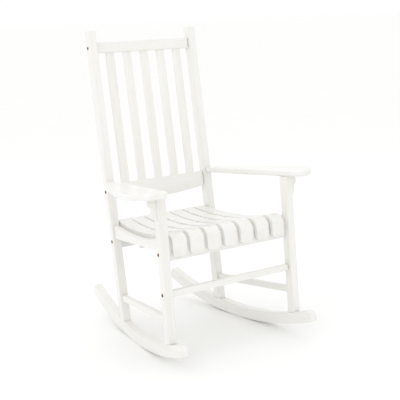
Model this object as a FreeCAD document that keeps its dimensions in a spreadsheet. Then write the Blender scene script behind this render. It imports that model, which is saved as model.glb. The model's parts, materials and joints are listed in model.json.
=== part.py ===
import FreeCAD, Part
import Sketcher
import math
import os

# A painted hardwood porch rocking chair that comes flat packed: two splayed side frames on rockers,
# joined by cross rails with bolts and barrel nuts, a slatted back, a scooped slatted seat and paddle arms.
# It is drawn "square": front legs upright, arms level, -Y forward, Z up. The left side is -X and the
# right side is +X, as they are seen from in front. At the end the whole chair is tipped back to the angle at which it balances.
# "Side frame" axes: X inward from the outer face, Y back along the frame, Z up.

doc = FreeCAD.newDocument("rocking_chair")
Vec = FreeCAD.Vector
Place = FreeCAD.Placement
Turn = FreeCAD.Rotation
X_AXIS = Vec(1, 0, 0)
Y_AXIS = Vec(0, 1, 0)
Z_AXIS = Vec(0, 0, 1)

SIZES = [
    ("overall_height", 1140, "floor to the top of the back posts, chair square"),
    ("front_width", 572, "over the outer faces of the front legs"),
    ("splay", 7.2, "degrees each side frame turns in towards the back"),
    ("leg_size", 32, "square section of legs and posts"),
    ("leg_spacing", 407, "front face of leg to front face of back post, along the side frame"),
    ("rake", 4.1, "degrees the back posts lean back from the front legs"),
    ("leg_ease", 2.5, "rounding of leg and post edges"),
    ("rocker_radius", 1143, "running edge"),
    ("rocker_depth", 43, "running edge to top edge"),
    ("rocker_nose", 85, "in front of the front leg"),
    ("rocker_tail", 276, "behind the back post"),
    ("rocker_nose_round", 26, "upper front corner"),
    ("rocker_tail_round", 14, "lower back corner"),
    ("rocker_corner", 7, "the other two end corners"),
    ("edge_ease", 2, "rounding of board edges"),
    ("rail_thickness", 19, "crest and lumbar rails"),
    ("rail_setback", 9, "crest and lumbar rails behind the post fronts"),
    ("crest_drop", 43, "post top to crest rail top"),
    ("crest_height", 40, "crest rail"),
    ("lumbar_top", 516, "lumbar rail top above the post foot, along the post"),
    ("lumbar_height", 72, "lumbar rail at the middle"),
    ("lumbar_end_height", 55, "lumbar rail at its ends"),
    ("slat_width", 34, "back slat"),
    ("slat_thickness", 10, "back slat"),
    ("slat_pitch", 73, "back slat centre to centre"),
    ("slat_tenon", 12, "back slat into each rail"),
    ("seat_low", 413.5, "lowest point of the seat top"),
    ("seat_low_back", 240, "lowest point of the seat behind the leg fronts"),
    ("seat_radius", 1000, "scoop of the seat, front to back"),
    ("seat_roll", 34, "radius of the rolled front edge"),
    ("seat_front", 0.5, "front of the seat lip behind the leg fronts"),
    ("seat_lip", 44, "straight part of the lip below the roll"),
    ("seat_tip_round", 14, "rounding of the tip corners of each seat slat"),
    ("seat_slat_width", 53, "seat slat"),
    ("seat_slat_thickness", 14, "seat slat"),
    ("seat_leg_gap", 15.5, "outer seat slats to the front legs"),
    ("seat_post_gap", 2.5, "outer seat slats to the back posts"),
    ("seat_rail_thickness", 20, "front and rear seat rails, bearer and side rails"),
    ("front_rail_bottom", 344, "height of the underside"),
    ("rear_rail_bottom", 333, "height of the underside"),
    ("rear_rail_setback", 3, "rear seat rail behind the post fronts at seat height"),
    ("bearer_height", 40, "cross bearer under the middle of the seat"),
    ("side_rail_inset", 6, "seat side rail behind the outer face of the leg"),
    ("side_rail_bottom_back", 371, "height of the underside at the back post"),
    ("side_rail_bottom_front", 381, "height of the underside at the front leg"),
    ("side_rail_low", 404, "lowest point of the scooped top edge"),
    ("side_rail_radius", 1150, "scoop of the top edge"),
    ("arm_height", 586, "top of the arms"),
    ("arm_thickness", 20, "arm board"),
    ("arm_edge_round", 5, "rounding of the arm's edges"),
    ("arm_inner", 27, "inner edge of the arm inside the outer face of the leg"),
    ("arm_palm", 104, "widest point of the arm outside the leg"),
    ("arm_nose", 66, "front of the arm ahead of the leg"),
    ("arm_root", 12, "outer edge of the arm outside the leg line at the back post"),
    ("bracket_reach", 27, "arm bracket out from the leg"),
    ("bracket_height", 86, "arm bracket below the arm"),
    ("bracket_thickness", 18, "arm bracket"),
    ("stretcher_height", 23, "stretchers, up and down"),
    ("stretcher_thickness", 19, "stretchers, across"),
    ("front_stretcher_level", 233, "height of its centre"),
    ("front_stretcher_setback", 8, "behind the front of the legs"),
    ("side_stretcher_level", 147, "height of its centre"),
    ("side_stretcher_inset", 6, "behind the outer face of the leg"),
    ("tenon_diameter", 14, "round tenons on the side stretchers"),
    ("tenon_length", 15, "round tenons on the side stretchers"),
    ("bolt_shank", 6, "cross bolt"),
    ("bolt_length", 62, "cross bolt under its head"),
    ("bolt_head", 12, "diameter of the flat head"),
    ("bolt_head_thickness", 3, "flat head"),
    ("bolt_recess", 2, "depth of the seat for the head"),
    ("bolt_socket", 4, "hexagon socket across flats"),
    ("nut_diameter", 10, "barrel nut"),
    ("nut_position", 52, "barrel nut centre from under the bolt head"),
    ("dowel_diameter", 8, "locating dowels"),
    ("dowel_length", 30, "locating dowels"),
    ("arm_dowel_diameter", 10, "dowel from the leg top into the arm"),
    ("screw_shank", 4, "seat screws"),
    ("screw_head", 7.6, "seat screw head, and the filler plug above it"),
    ("screw_length", 32, "seat screws"),
    ("plug_depth", 1.6, "filler plug"),
    ("foot_screw_shank", 5, "screws up through the rockers"),
    ("foot_screw_head", 9, "head of the screws through the rockers"),
    ("foot_screw_length", 70, "screws up through the rockers"),
    ("foot_screw_depth", 12, "counterbore in the running edge"),
    ("fit_gap", 0.2, "play across a bolt, dowel, tenon or mortise"),
    ("seat_gap", 0.1, "play where a shaped edge seats on another"),
]
BACK_SLATS = 5
SEAT_SLATS = 7
WOOD_DENSITY = 0.68e-6      # kg per cubic millimetre
STEEL_DENSITY = 7.85e-6
STEEL_PARTS = ("frame_bolts", "barrel_nuts", "seat_screws", "rocker_screws")

sheet = doc.addObject("Spreadsheet::Sheet", "sizes")
for row, (alias, value, note) in enumerate(SIZES, 1):
    sheet.set(f"A{row}", alias)
    sheet.set(f"B{row}", str(value))
    sheet.setAlias(f"B{row}", alias)
    sheet.set(f"C{row}", note)
doc.recompute()
size = {alias: float(sheet.get(alias)) for alias, value, note in SIZES}

# ---- derived places, all from the sizes above -------------------------------------------------
splay = math.radians(size["splay"])
rake = math.radians(size["rake"])
leg = size["leg_size"]
gap = size["fit_gap"]
half_width = size["front_width"] / 2
rocker_middle = (size["leg_spacing"] + leg) / 2
top_edge_radius = size["rocker_radius"] - size["rocker_depth"]


def rocker_top(along):
    """Height of the rocker's top edge at a place along the side frame."""
    return size["rocker_radius"] - math.sqrt(top_edge_radius ** 2 - (along - rocker_middle) ** 2)


post_foot = rocker_top(size["leg_spacing"])
side_frame = Place(Vec(-half_width, 0, 0), Turn(Z_AXIS, -size["splay"]))
post_half_width = half_width - size["leg_spacing"] * math.sin(splay)
post_front = size["leg_spacing"] * math.cos(splay)
back_origin = Vec(0, post_front - leg / 2 * math.sin(splay), post_foot)
back_frame = Place(back_origin, Turn(X_AXIS, -size["rake"]))
post_length = (size["overall_height"] - post_foot) / math.cos(rake)
arm_bottom = size["arm_height"] - size["arm_thickness"]
rail_middle = size["rail_setback"] + size["rail_thickness"] / 2
crest_bottom = post_length - size["crest_drop"] - size["crest_height"]
crest_middle = crest_bottom + size["crest_height"] / 2
lumbar_middle = size["lumbar_top"] - size["lumbar_end_height"] / 2


def inner_face(y, inset):
    """Distance from the middle of the chair to a face of the side frame, at a depth y."""
    return half_width - y * math.tan(splay) - inset / math.cos(splay)


def post_front_at(height):
    """Depth of the middle of the post's front face at a height."""
    return back_origin.y + (height - post_foot) * math.tan(rake)


def post_inner_face(depth):
    """Distance from the middle of the chair to a post's inner face, at a depth behind its front."""
    return post_half_width - leg * math.cos(splay) - (depth + leg / 2 * math.sin(splay)) * math.tan(splay)


def leg_outer_face(y):
    return half_width - y * math.tan(splay)


def post_outer_face(depth):
    return post_half_width - (depth - leg / 2 * math.sin(splay)) * math.tan(splay)


# ---- small builders ----------------------------------------------------------------------------
def bind(thing, **expressions):
    for name, expression in expressions.items():
        thing.setExpression(name, expression)
    return thing


def box(name, length, width, height, place):
    thing = doc.addObject("Part::Box", name)
    bind(thing, Length=length, Width=width, Height=height)
    thing.Placement = place
    return thing


def rod(name, diameter, length, at, direction):
    """A round bar or hole: its diameter and length are sheet expressions."""
    thing = doc.addObject("Part::Cylinder", name)
    bind(thing, Radius=f"({diameter}) / 2", Height=length)
    thing.Placement = Place(at, Turn(Z_AXIS, direction))
    return thing


def group(name, things):
    thing = doc.addObject("Part::Compound", name)
    thing.Links = things
    return thing


def cut(name, base, tools):
    thing = doc.addObject("Part::Cut", name)
    thing.Base = base
    thing.Tool = tools[0] if len(tools) == 1 else group(name + "_cutters", tools)
    return thing


def mirrored(name, source):
    thing = doc.addObject("Part::Mirroring", name)
    thing.Source = source
    thing.Base = Vec(0, 0, 0)
    thing.Normal = X_AXIS
    return thing


def rounded(name, source, radius, wanted):
    """Rounds the edges of a Part solid that the test wanted(edge) picks."""
    doc.recompute()
    thing = doc.addObject("Part::Fillet", name)
    thing.Base = source
    edges = source.Shape.Edges
    thing.Edges = [(i, radius, radius) for i, edge in enumerate(edges, 1) if wanted(edge)]
    return thing


def new_body(name, plane, curves):
    """A body with one closed sketch made of the curves, in order."""
    body = doc.addObject("PartDesign::Body", name)
    sketch = body.newObject("Sketcher::SketchObject", name + "_outline")
    flat = [item for item in body.Origin.OriginFeatures if item.Role == plane][0]
    sketch.AttachmentSupport = (flat, [""])
    sketch.MapMode = "FlatFace"
    sketch.addGeometry(curves, False)
    count = len(curves)
    for i in range(count):
        after = (i + 1) % count
        for end, start in ((2, 1), (2, 2), (1, 1), (1, 2)):
            if sketch.getPoint(i, end).isEqual(sketch.getPoint(after, start), 1e-5):
                sketch.addConstraint(Sketcher.Constraint("Coincident", i, end, after, start))
                break
    for i in range(count):
        sketch.addConstraint(Sketcher.Constraint("Block", i))
    return body, sketch


def pad(body, sketch, length, reverse=False):
    feature = body.newObject("PartDesign::Pad", body.Name + "_pad")
    feature.Profile = sketch
    feature.setExpression("Length", length)
    feature.Reversed = reverse
    doc.recompute()
    return feature


def ease(body, feature, suffix, radius, wanted):
    """Rounds the edges of a body's feature that the test wanted(edge) picks."""
    names = [f"Edge{i}" for i, edge in enumerate(feature.Shape.Edges, 1) if wanted(edge)]
    fillet = body.newObject("PartDesign::Fillet", body.Name + suffix)
    fillet.Base = (feature, names)
    fillet.setExpression("Radius", radius)
    doc.recompute()
    return fillet


def bevel(body, feature, depth, wanted):
    """Takes a flat bevel off the edges of a body's feature that the test wanted(edge) picks."""
    names = [f"Edge{i}" for i, edge in enumerate(feature.Shape.Edges, 1) if wanted(edge)]
    chamfer = body.newObject("PartDesign::Chamfer", body.Name + "_bevel")
    chamfer.Base = (feature, names)
    chamfer.setExpression("Size", depth)
    doc.recompute()
    return chamfer


def line(a, b):
    return Part.LineSegment(Vec(*a, 0), Vec(*b, 0))


def arc(a, b, c):
    """An arc from a through b to c."""
    round_way = (b[0] - a[0]) * (c[1] - b[1]) - (b[1] - a[1]) * (c[0] - b[0])
    first, last = (a, c) if round_way > 0 else (c, a)
    return Part.Arc(Vec(*first, 0), Vec(*b, 0), Vec(*last, 0))


def on_circle(centre, radius, degrees):
    angle = math.radians(degrees)
    return (centre[0] + radius * math.cos(angle), centre[1] + radius * math.sin(angle))


def along_axis(edge, axis):
    """True for a straight edge parallel to an axis."""
    if not isinstance(edge.Curve, Part.Line):
        return False
    return abs(edge.Curve.Direction.dot(axis)) > 0.9999


def in_end_face(edge, axis, level):
    """True for an edge that lies at one level along an axis."""
    return all(abs(vertex.Point.dot(axis) - level) < 1e-3 for vertex in edge.Vertexes) and \
        abs(edge.valueAt((edge.FirstParameter + edge.LastParameter) / 2).dot(axis) - level) < 1e-3


parts = {}


def keep(name, thing):
    thing.Label = name
    parts[name] = thing
    return thing


def keep_pair(name, left):
    keep(name + "_left", left)
    keep(name + "_right", mirrored(name + "_right", left))


# ---- fasteners of the left side frame, and the holes they need ----------------------------------
# Each cross bolt runs along X through a leg or post into the end of a cross rail.
bolt_sites = []


def add_bolt_site(name, centre, face, nut_axis, rear, dowel_axis, dowel_offsets, rail_end):
    bolt_sites.append(dict(name=name, centre=centre, face=face, nut_axis=nut_axis, rear=rear,
                           dowel_axis=dowel_axis, dowel_offsets=dowel_offsets, rail_end=rail_end))


back_y = back_frame.Rotation.multVec(Y_AXIS)
back_z = back_frame.Rotation.multVec(Z_AXIS)
half_rail = size["rail_thickness"] / 2
half_seat_rail = size["seat_rail_thickness"] / 2

roll_centre_y = size["seat_front"] + size["seat_roll"]
scoop_centre = (size["seat_low_back"], size["seat_low"] + size["seat_radius"])
roll_reach = size["seat_radius"] + size["seat_roll"]
roll_centre = (roll_centre_y, scoop_centre[1] - math.sqrt(roll_reach ** 2 - (scoop_centre[0] - roll_centre_y) ** 2))


def seat_underside(y):
    """Height of the underside of the seat slats behind the rolled front."""
    radius = size["seat_radius"] + size["seat_slat_thickness"]
    return scoop_centre[1] - math.sqrt(radius ** 2 - (y - scoop_centre[0]) ** 2)


front_rail_y = size["seat_front"] + size["seat_slat_thickness"] + gap
front_rail_top = roll_centre[1] + size["seat_roll"] - size["seat_slat_thickness"] - gap
rear_rail_y = post_front_at(size["seat_low"]) + size["rear_rail_setback"]
rear_rail_top = seat_underside(rear_rail_y) - size["seat_gap"]
front_bolt_level = size["front_rail_bottom"] + 26
rear_bolt_level = size["rear_rail_bottom"] + 26
stretcher_middle_y = size["front_stretcher_setback"] + size["stretcher_thickness"] / 2

for rail, along in (("crest", crest_middle), ("lumbar", lumbar_middle)):
    add_bolt_site(rail, back_frame.multVec(Vec(0, rail_middle, along)), post_outer_face(rail_middle), back_y,
                  half_rail, back_z, (-13, 13), post_inner_face(size["rail_setback"] + size["rail_thickness"]))
rear_middle_y = rear_rail_y + half_seat_rail
rear_depth = rear_middle_y - post_front_at(rear_bolt_level)
add_bolt_site("rear_rail", Vec(0, rear_middle_y, rear_bolt_level), post_outer_face(rear_depth), Y_AXIS,
              half_seat_rail, Z_AXIS, (-17, 20), post_inner_face(rear_depth + half_seat_rail))
front_middle_y = front_rail_y + half_seat_rail
add_bolt_site("front_rail", Vec(0, front_middle_y, front_bolt_level), leg_outer_face(front_middle_y), Y_AXIS,
              half_seat_rail, Z_AXIS, (-17, 17), inner_face(front_rail_y + size["seat_rail_thickness"], leg))
add_bolt_site("front_stretcher", Vec(0, stretcher_middle_y, size["front_stretcher_level"]),
              leg_outer_face(stretcher_middle_y), Y_AXIS, size["stretcher_thickness"] / 2, Z_AXIS, (),
              inner_face(size["front_stretcher_setback"] + size["stretcher_thickness"], leg))

bolts = []
nuts = []
dowels = []
leg_cutters = []
post_cutters = []
rail_cutters = {}
for site in bolt_sites:
    label = site["name"]
    centre = site["centre"]
    under_head = Vec(-site["face"] + size["bolt_recess"], centre.y, centre.z)
    head = rod(label + "_bolt_head", "sizes.bolt_head", "sizes.bolt_head_thickness",
               under_head - X_AXIS * size["bolt_head_thickness"], X_AXIS)
    shank = rod(label + "_bolt_shank", "sizes.bolt_shank", "sizes.bolt_length", under_head, X_AXIS)
    blank = doc.addObject("Part::Fuse", label + "_bolt_blank")
    blank.Base = head
    blank.Tool = shank
    socket = doc.addObject("Part::Prism", label + "_bolt_socket")
    socket.Polygon = 6
    bind(socket, Circumradius="sizes.bolt_socket / sqrt(3)", Height="sizes.bolt_head_thickness * 0.8")
    socket.Placement = Place(under_head - X_AXIS * size["bolt_head_thickness"], Turn(Z_AXIS, X_AXIS))
    bolts.append(cut(label + "_bolt", blank, [socket]))
    nut_at = under_head + X_AXIS * size["nut_position"]
    nut_half = site["rear"] - 2
    nut_blank = rod(label + "_nut_blank", "sizes.nut_diameter", f"{2 * nut_half}",
                    nut_at - site["nut_axis"] * nut_half, site["nut_axis"])
    thread = rod(label + "_nut_thread", "sizes.bolt_shank + sizes.fit_gap", "sizes.nut_diameter * 3",
                 nut_at - X_AXIS * size["nut_diameter"] * 1.5, X_AXIS)
    nuts.append(cut(label + "_nut", nut_blank, [thread]))
    seat = rod(label + "_head_seat", "sizes.bolt_head + 1", "20", under_head - X_AXIS * 20, X_AXIS)
    way = rod(label + "_bolt_way", "sizes.bolt_shank + 1", "sizes.bolt_length + 4", under_head - X_AXIS, X_AXIS)
    side_cutters = leg_cutters if label.startswith("front") else post_cutters
    side_cutters.extend([seat, way])
    nut_way = rod(label + "_nut_way", "sizes.nut_diameter + sizes.fit_gap", f"{site['rear'] * 2}",
                  nut_at - site["nut_axis"] * (site["rear"] - 2), site["nut_axis"])
    rail_way = doc.addObject("Part::Fuse", label + "_rail_way")
    rail_way.Base = way
    rail_way.Tool = nut_way
    rail_cutters[label] = [rail_way]
    for i, offset in enumerate(site["dowel_offsets"], 1):
        middle = Vec(-site["rail_end"], centre.y, centre.z) + site["dowel_axis"] * offset
        start = middle - X_AXIS * size["dowel_length"] / 2
        dowels.append(rod(f"{label}_dowel_{i}", "sizes.dowel_diameter", "sizes.dowel_length", start, X_AXIS))
        way = rod(f"{label}_dowel_way_{i}", "sizes.dowel_diameter + sizes.fit_gap", "sizes.dowel_length + 1",
                  start - X_AXIS / 2, X_AXIS)
        side_cutters.append(way)
        rail_cutters[label].append(way)

# Dowels that run along the side frame: seat side rail ends and the back end of the arm.
back_along_frame = side_frame.Rotation.multVec(Y_AXIS)
side_rail_middle = size["side_rail_inset"] + half_seat_rail
side_rail_cutters = []


def post_face_along(height):
    """Place along the side frame where the post's front face is, at a height."""
    return size["leg_spacing"] + (height - post_foot) * math.tan(rake) * math.cos(splay)


def post_shift(height):
    """How far the raked post has moved outward from the side frame, at a height."""
    return (height - post_foot) * math.tan(rake) * math.sin(splay)


def frame_dowel(name, inset, along, height, cutters):
    start = side_frame.multVec(Vec(inset, along - size["dowel_length"] / 2, height))
    way = rod(name + "_way", "sizes.dowel_diameter + sizes.fit_gap", "sizes.dowel_length + 1",
              start - back_along_frame / 2, back_along_frame)
    for cutter_list in cutters:
        cutter_list.append(way)
    dowels.append(rod(name, "sizes.dowel_diameter", "sizes.dowel_length", start, back_along_frame))


for i, level in enumerate((387, 405), 1):
    frame_dowel(f"side_rail_front_dowel_{i}", side_rail_middle + 3, leg, level, (leg_cutters, side_rail_cutters))
for i, level in enumerate((382, 408), 1):
    frame_dowel(f"side_rail_back_dowel_{i}", side_rail_middle - 4, post_face_along(level), level,
                (post_cutters, side_rail_cutters))
arm_cutters = []
arm_middle = arm_bottom + size["arm_thickness"] / 2
frame_dowel("arm_back_dowel", leg / 2 - post_shift(arm_middle), post_face_along(arm_middle), arm_middle,
            (post_cutters, arm_cutters))
arm_dowel_start = side_frame.multVec(Vec(leg / 2, leg / 2, arm_bottom - size["dowel_length"] / 2))
arm_dowel = rod("arm_front_dowel", "sizes.arm_dowel_diameter", "sizes.dowel_length - 4", arm_dowel_start, Z_AXIS)
arm_dowel_way = rod("arm_front_dowel_way", "sizes.arm_dowel_diameter + sizes.fit_gap", "sizes.dowel_length - 3",
                    arm_dowel_start - Z_AXIS / 2, Z_AXIS)
leg_cutters.append(arm_dowel_way)
arm_cutters.append(arm_dowel_way)
dowels.append(arm_dowel)

# ---- side stretchers: a bar with a round tenon at each end ---------------------------------------
tenon_inset = size["side_stretcher_inset"] + size["stretcher_thickness"] / 2
stretcher_back = post_face_along(size["side_stretcher_level"] + size["stretcher_height"] / 2)
bar = box("side_stretcher_bar", "sizes.stretcher_thickness", f"{stretcher_back - leg - gap}",
          "sizes.stretcher_height",
          side_frame.multiply(Place(Vec(size["side_stretcher_inset"], leg,
                                        size["side_stretcher_level"] - size["stretcher_height"] / 2), Turn())))
bar = rounded("side_stretcher_eased", bar, size["edge_ease"], lambda edge: along_axis(edge, back_along_frame))
tenon_start = side_frame.multVec(Vec(tenon_inset, leg - size["tenon_length"], size["side_stretcher_level"]))
tenon_span = stretcher_back - leg + 2 * size["tenon_length"]
tenon = rod("side_stretcher_tenons", "sizes.tenon_diameter", f"{tenon_span - 1}", tenon_start, back_along_frame)
tenon_way = rod("side_stretcher_mortises", "sizes.tenon_diameter + sizes.fit_gap", f"{tenon_span + 1}",
                tenon_start - back_along_frame, back_along_frame)
leg_cutters.append(tenon_way)
post_cutters.append(tenon_way)
side_stretcher = doc.addObject("Part::Fuse", "side_stretcher_left")
side_stretcher.Base = bar
side_stretcher.Tool = tenon
keep_pair("side_stretcher", side_stretcher)

# ---- rockers, with a screw up into each foot -----------------------------------------------------
rocker_centre = (rocker_middle, size["rocker_radius"])
nose_turn = math.degrees(math.asin((rocker_middle + size["rocker_nose"]) / size["rocker_radius"]))
tail_turn = math.degrees(math.asin((rocker_middle + size["rocker_tail"]) / size["rocker_radius"]))
running = [on_circle(rocker_centre, size["rocker_radius"], -90 + turn) for turn in (-nose_turn, 0, tail_turn)]
upper = [on_circle(rocker_centre, top_edge_radius, -90 + turn) for turn in (-nose_turn, 0, tail_turn)]
outline = [arc(*running), line(running[2], upper[2]), arc(*upper), line(upper[0], running[0])]
rocker_body, sketch = new_body("rocker_blank", "YZ_Plane", outline)
feature = pad(rocker_body, sketch, "sizes.leg_size")


def corner_at(point):
    return lambda edge: along_axis(edge, X_AXIS) and \
        math.hypot(edge.Vertexes[0].Y - point[0], edge.Vertexes[0].Z - point[1]) < 0.01


feature = ease(rocker_body, feature, "_nose", "sizes.rocker_nose_round", corner_at(upper[0]))
feature = ease(rocker_body, feature, "_tail", "sizes.rocker_tail_round", corner_at(running[2]))
feature = ease(rocker_body, feature, "_nose_low", "sizes.rocker_corner", corner_at(running[0]))
feature = ease(rocker_body, feature, "_tail_high", "sizes.rocker_corner", corner_at(upper[2]))
ease(rocker_body, feature, "_edges", "sizes.edge_ease",
     lambda edge: in_end_face(edge, X_AXIS, 0) or in_end_face(edge, X_AXIS, leg))
rocker_body.Placement = side_frame

foot_screws = []
rocker_cutters = []
post_axis_foot = Vec(-post_half_width, post_front, post_foot) + \
    Turn(Z_AXIS, -size["splay"]).multVec(Vec(leg / 2, leg / 2, 0))
foot_sites = (("front", side_frame.multVec(Vec(leg / 2, leg / 2, rocker_top(leg / 2))), Z_AXIS, leg_cutters),
              ("back", post_axis_foot, back_z, post_cutters))
for label, foot, direction, cutters in foot_sites:
    head_at = foot - direction * (size["rocker_depth"] - size["foot_screw_depth"])
    head = rod(label + "_foot_screw_head", "sizes.foot_screw_head", "3", head_at - direction * 3, direction)
    shank = rod(label + "_foot_screw_shank", "sizes.foot_screw_shank", "sizes.foot_screw_length", head_at, direction)
    screw = doc.addObject("Part::Fuse", label + "_foot_screw")
    screw.Base = head
    screw.Tool = shank
    foot_screws.append(screw)
    way = rod(label + "_foot_screw_way", "sizes.foot_screw_shank + sizes.fit_gap",
              "sizes.foot_screw_length + 2", head_at - direction, direction)
    bore = rod(label + "_foot_screw_bore", "sizes.foot_screw_head + 1", "40", head_at - direction * 40, direction)
    both = doc.addObject("Part::Fuse", label + "_foot_screw_ways")
    both.Base = way
    both.Tool = bore
    rocker_cutters.append(both)
    cutters.append(way)
keep_pair("rocker", cut("rocker_left", rocker_body, rocker_cutters))

# ---- front legs and back posts, their feet shaped to the rocker ------------------------------------
def foot_drum(name):
    """A drum that fills the space above the rocker's top edge."""
    at = side_frame.multVec(Vec(-leg, rocker_middle, size["rocker_radius"]))
    return rod(name, "2 * (sizes.rocker_radius - sizes.rocker_depth - sizes.seat_gap)", "sizes.leg_size * 3", at,
               side_frame.Rotation.multVec(X_AXIS))


def upright(name, length, place, cutters):
    blank = box(name + "_blank", "sizes.leg_size", "sizes.leg_size", length, place)
    axis = place.Rotation.multVec(Z_AXIS)
    doc.recompute()
    top = max(vertex.Point.dot(axis) for vertex in blank.Shape.Vertexes)
    shaped = rounded(name + "_eased", blank, size["leg_ease"],
                     lambda edge: along_axis(edge, axis) or in_end_face(edge, axis, top))
    footed = doc.addObject("Part::Common", name + "_footed")
    footed.Base = shaped
    footed.Tool = foot_drum(name + "_drum")
    return cut(name + "_left", footed, cutters)


keep_pair("front_leg", upright("front_leg", f"{arm_bottom}", side_frame, leg_cutters))
foot_spare = post_foot
post_place = back_frame.multiply(Place(Vec(-post_half_width, leg / 2 * math.sin(splay), -foot_spare),
                                       Turn(Z_AXIS, -size["splay"])))
keep_pair("back_post", upright("back_post", f"{post_length + foot_spare}", post_place, post_cutters))

# ---- back: crest rail, lumbar rail and slats --------------------------------------------------------
slat_low = size["lumbar_top"] - size["slat_tenon"]
slat_length = crest_bottom + size["slat_tenon"] - slat_low


def slat_place(i, play):
    x = (i - (BACK_SLATS + 1) / 2) * size["slat_pitch"] - (size["slat_width"] + play) / 2
    return back_frame.multiply(Place(Vec(x, rail_middle - (size["slat_thickness"] + play) / 2,
                                         slat_low - play), Turn()))


slat_ways = []
for i in range(1, BACK_SLATS + 1):
    slat = box(f"back_slat_{i}_blank", "sizes.slat_width", "sizes.slat_thickness", f"{slat_length}",
               slat_place(i, 0))
    keep(f"back_slat_{i}", rounded(f"back_slat_{i}", slat, size["edge_ease"],
                                   lambda edge: along_axis(edge, back_z)))
    slat_ways.append(box(f"back_slat_{i}_way", "sizes.slat_width + sizes.fit_gap",
                         "sizes.slat_thickness + sizes.fit_gap", f"{slat_length + 2 * gap}", slat_place(i, gap)))

back_rail_half = post_inner_face(size["rail_setback"] + size["rail_thickness"]) - gap


def back_rail(name, low_middle, low_end, high):
    corners = [(-back_rail_half, low_end), (back_rail_half, low_end), (back_rail_half, high), (-back_rail_half, high)]
    if low_middle < low_end:
        under = arc(corners[0], (0, low_middle), corners[1])
    else:
        under = line(corners[0], corners[1])
    curves = [under, line(corners[1], corners[2]), line(corners[2], corners[3]), line(corners[3], corners[0])]
    body, sketch = new_body(name + "_blank", "XZ_Plane", curves)
    feature = pad(body, sketch, "sizes.rail_thickness", True)
    ease(body, feature, "_edges", "sizes.edge_ease",
         lambda edge: not along_axis(edge, Y_AXIS) and not along_axis(edge, Z_AXIS))
    body.Placement = back_frame.multiply(Place(Vec(0, size["rail_setback"], 0), Turn()))
    return body


def both_ends(name, cutters):
    """The cutters of the left end and their mirror images."""
    return cutters + [mirrored(f"{name}_{i}_right", thing) for i, thing in enumerate(cutters, 1)]


crest = back_rail("crest_rail", crest_bottom, crest_bottom, crest_bottom + size["crest_height"])
keep("crest_rail", cut("crest_rail", crest, both_ends("crest_way", rail_cutters["crest"]) + slat_ways))
lumbar = back_rail("lumbar_rail", size["lumbar_top"] - size["lumbar_height"],
                   size["lumbar_top"] - size["lumbar_end_height"], size["lumbar_top"])
keep("lumbar_rail", cut("lumbar_rail", lumbar, both_ends("lumbar_way", rail_cutters["lumbar"]) + slat_ways))

# ---- seat slats: scooped boards that roll over the front rail, fanned to follow the side frames -------
roll = size["seat_roll"]
thick = size["seat_slat_thickness"]
reach = math.degrees(math.atan2(scoop_centre[1] - roll_centre[1], scoop_centre[0] - roll_centre[0]))
seat_back = rear_rail_y + size["seat_rail_thickness"]
back_turn = math.degrees(math.asin((seat_back - scoop_centre[0]) / size["seat_radius"]))
lip_low = roll_centre[1] - size["seat_lip"]
top_scoop = size["seat_radius"]
under_scoop = size["seat_radius"] + thick
join_top = on_circle(roll_centre, roll, reach)
join_under = on_circle(roll_centre, roll - thick, reach)
back_top = on_circle(scoop_centre, top_scoop, -90 + back_turn)
back_under = on_circle(scoop_centre, under_scoop, -90 + back_turn)
front = (roll_centre[0] - roll, roll_centre[1])
front_in = (roll_centre[0] - roll + thick, roll_centre[1])
roll_mid = on_circle(roll_centre, roll, (180 + reach) / 2)
roll_mid_in = on_circle(roll_centre, roll - thick, (180 + reach) / 2)
scoop_mid = (scoop_centre[0], scoop_centre[1] - top_scoop)
scoop_mid_in = (scoop_centre[0], scoop_centre[1] - under_scoop)
seat_outline = [line((front[0], lip_low), front), arc(front, roll_mid, join_top),
                arc(join_top, scoop_mid, back_top), line(back_top, back_under),
                arc(back_under, scoop_mid_in, join_under), arc(join_under, roll_mid_in, front_in),
                line(front_in, (front_in[0], lip_low)), line((front_in[0], lip_low), (front[0], lip_low))]
half_slat = size["seat_slat_width"] / 2
front_spread = inner_face(size["seat_front"] + thick, leg) - size["seat_leg_gap"] - half_slat
back_spread = post_inner_face(seat_back - post_front_at(size["seat_low"])) - size["seat_post_gap"] - half_slat
bearer_y = size["seat_low_back"] - half_seat_rail
screw_depths = (front_rail_y + half_seat_rail, bearer_y + half_seat_rail, rear_rail_y + half_seat_rail)
seat_screws = []
seat_plugs = []
seat_ways = []


def seat_top(y):
    """Height of the seat's top surface at a depth."""
    if y < join_top[0]:
        return roll_centre[1] + math.sqrt(roll ** 2 - (y - roll_centre[0]) ** 2)
    return scoop_centre[1] - math.sqrt(top_scoop ** 2 - (y - scoop_centre[0]) ** 2)


def on_seat_skin(edge):
    """True for the edges around the top and front faces of a seat slat blank."""
    middle = edge.valueAt((edge.FirstParameter + edge.LastParameter) / 2)
    across = along_axis(edge, X_AXIS) and middle.z > lip_low + 0.01
    on_scoop = abs(math.hypot(middle.y - scoop_centre[0], middle.z - scoop_centre[1]) - top_scoop) < 0.01
    on_roll = abs(math.hypot(middle.y - roll_centre[0], middle.z - roll_centre[1]) - roll) < 0.01 \
        and middle.y < join_top[0]
    return not across and (on_scoop or on_roll or abs(middle.y - front[0]) < 0.01)


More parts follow.
